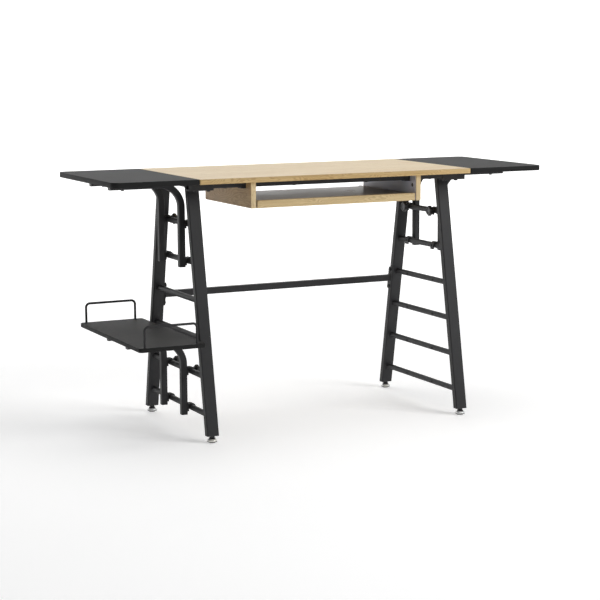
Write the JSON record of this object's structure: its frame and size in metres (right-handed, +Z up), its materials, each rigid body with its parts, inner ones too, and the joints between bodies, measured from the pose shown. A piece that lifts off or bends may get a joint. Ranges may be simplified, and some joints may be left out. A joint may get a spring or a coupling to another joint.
{
  "type": "drafting table",
  "caption": "Fixed-height craft and drafting desk with ladder A-frame ends, slide-out tray, hook-on side boards and a lower shelf.",
  "frame": {"origin": "on the floor, below the middle of the top", "axes": "+Z up, +X to the user's right along the top, the user sits on the -Y side"},
  "size_m": [1.41, 0.515, 0.762],
  "materials": {
    "wood_top": "clear satin lacquer over pale ash grain",
    "wood_side": "satin ash-grain laminate with edge band",
    "tray_laminate": "matt grey-brown laminate",
    "black_steel": "fine-texture black powder coat",
    "black_board": "matt black melamine with fine texture",
    "black_plastic": "moulded matt black",
    "black_screw": "black oxide",
    "zinc_screw": "zinc plated",
    "slide_steel": "zinc-plated rolled steel",
    "foot_zinc": "bright zinc plated"
  },
  "bodies": {
    "desk_frame": {"tabletop": "wood_top", "left_front_leg": "black_steel", "left_rear_leg": "black_steel", "right_front_leg": "black_steel", "right_rear_leg": "black_steel", "left_crossbar": "black_steel", "right_crossbar": "black_steel", "left_rungs": "black_steel", "right_rungs": "black_steel", "leg_plugs": "black_plastic", "front_rail": "black_steel", "rear_rail": "black_steel", "rail_saddles": "black_steel", "frame_bolts": "black_screw", "tabletop_screws": "black_screw", "stretcher": "black_steel", "stretcher_plates": "black_steel", "left_housing_side": "wood_side", "right_housing_side": "wood_side", "housing_brackets": "black_steel", "housing_screws": "zinc_screw", "left_slide_outer": "slide_steel", "right_slide_outer": "slide_steel"},
    "tray": {"tray_board": "tray_laminate", "tray_front_strip": "wood_side", "tray_screws": "zinc_screw", "left_slide_inner": "slide_steel", "right_slide_inner": "slide_steel"},
    "left_retainer": {"left_ball_retainer": "slide_steel"},
    "right_retainer": {"right_ball_retainer": "slide_steel"},
    "left_side_unit": {"left_side_board": "black_board", "left_side_bracket_front": "black_steel", "left_side_bracket_rear": "black_steel", "left_side_hooks": "black_steel", "left_side_screws": "black_screw", "left_side_tube_caps": "black_plastic"},
    "right_side_unit": {"right_side_board": "black_board", "right_side_bracket_front": "black_steel", "right_side_bracket_rear": "black_steel", "right_side_hooks": "black_steel", "right_side_screws": "black_screw", "right_side_tube_caps": "black_plastic"},
    "lower_shelf_unit": {"lower_shelf_board": "black_board", "lower_shelf_bracket_front": "black_steel", "lower_shelf_bracket_rear": "black_steel", "lower_shelf_hooks": "black_steel", "lower_shelf_screws": "black_screw", "lower_shelf_tube_caps": "black_plastic", "lower_shelf_guard_front": "black_steel", "lower_shelf_guard_rear": "black_steel"},
    "left_side_knob_front_body": {"left_side_knob_front": "black_plastic"},
    "left_side_knob_rear_body": {"left_side_knob_rear": "black_plastic"},
    "right_side_knob_front_body": {"right_side_knob_front": "black_plastic"},
    "right_side_knob_rear_body": {"right_side_knob_rear": "black_plastic"},
    "lower_shelf_knob_front_body": {"lower_shelf_knob_front": "black_plastic"},
    "lower_shelf_knob_rear_body": {"lower_shelf_knob_rear": "black_plastic"},
    "left_front_foot_body": {"left_front_foot": "foot_zinc"},
    "left_rear_foot_body": {"left_rear_foot": "foot_zinc"},
    "right_front_foot_body": {"right_front_foot": "foot_zinc"},
    "right_rear_foot_body": {"right_rear_foot": "foot_zinc"}
  },
  "joints": [
    {"name": "tray_slide", "type": "slide", "parent": "desk_frame", "child": "tray", "axis": [0, -1, 0], "range_m": [0, 0.225]},
    {"name": "left_retainer_slide", "type": "slide", "parent": "desk_frame", "child": "left_retainer", "axis": [0, -1, 0], "range_m": [0, 0.1125]},
    {"name": "right_retainer_slide", "type": "slide", "parent": "desk_frame", "child": "right_retainer", "axis": [0, -1, 0], "range_m": [0, 0.1125]},
    {"name": "left_side_lift", "type": "slide", "parent": "desk_frame", "child": "left_side_unit", "axis": [0, 0, 1], "range_m": [0, 0.025]},
    {"name": "right_side_lift", "type": "slide", "parent": "desk_frame", "child": "right_side_unit", "axis": [0, 0, 1], "range_m": [0, 0.025]},
    {"name": "lower_shelf_lift", "type": "slide", "parent": "desk_frame", "child": "lower_shelf_unit", "axis": [0, 0, 1], "range_m": [0, 0.025]},
    {"name": "left_side_knob_front_turn", "type": "hinge", "parent": "left_side_unit", "child": "left_side_knob_front_body", "pos_m": [-0.3963, -0.08, 0.6206], "axis": [1, 0, 0], "continuous": true},
    {"name": "left_side_knob_rear_turn", "type": "hinge", "parent": "left_side_unit", "child": "left_side_knob_rear_body", "pos_m": [-0.3963, 0.08, 0.6206], "axis": [1, 0, 0], "continuous": true},
    {"name": "right_side_knob_front_turn", "type": "hinge", "parent": "right_side_unit", "child": "right_side_knob_front_body", "pos_m": [0.3963, -0.08, 0.6206], "axis": [-1, 0, 0], "continuous": true},
    {"name": "right_side_knob_rear_turn", "type": "hinge", "parent": "right_side_unit", "child": "right_side_knob_rear_body", "pos_m": [0.3963, 0.08, 0.6206], "axis": [-1, 0, 0], "continuous": true},
    {"name": "lower_shelf_knob_front_turn", "type": "hinge", "parent": "lower_shelf_unit", "child": "lower_shelf_knob_front_body", "pos_m": [-0.3963, -0.08, 0.1854], "axis": [1, 0, 0], "continuous": true},
    {"name": "lower_shelf_knob_rear_turn", "type": "hinge", "parent": "lower_shelf_unit", "child": "lower_shelf_knob_rear_body", "pos_m": [-0.3963, 0.08, 0.1854], "axis": [1, 0, 0], "continuous": true},
    {"name": "left_front_foot_adjust", "type": "slide", "parent": "desk_frame", "child": "left_front_foot_body", "axis": [0, 0, -1], "range_m": [0, 0.01]},
    {"name": "left_rear_foot_adjust", "type": "slide", "parent": "desk_frame", "child": "left_rear_foot_body", "axis": [0, 0, -1], "range_m": [0, 0.01]},
    {"name": "right_front_foot_adjust", "type": "slide", "parent": "desk_frame", "child": "right_front_foot_body", "axis": [0, 0, -1], "range_m": [0, 0.01]},
    {"name": "right_rear_foot_adjust", "type": "slide", "parent": "desk_frame", "child": "right_rear_foot_body", "axis": [0, 0, -1], "range_m": [0, 0.01]}
  ],
  "couplings": [
    {"joint": "left_retainer_slide", "follows": "tray_slide", "ratio": 0.5},
    {"joint": "right_retainer_slide", "follows": "tray_slide", "ratio": 0.5}
  ]
}
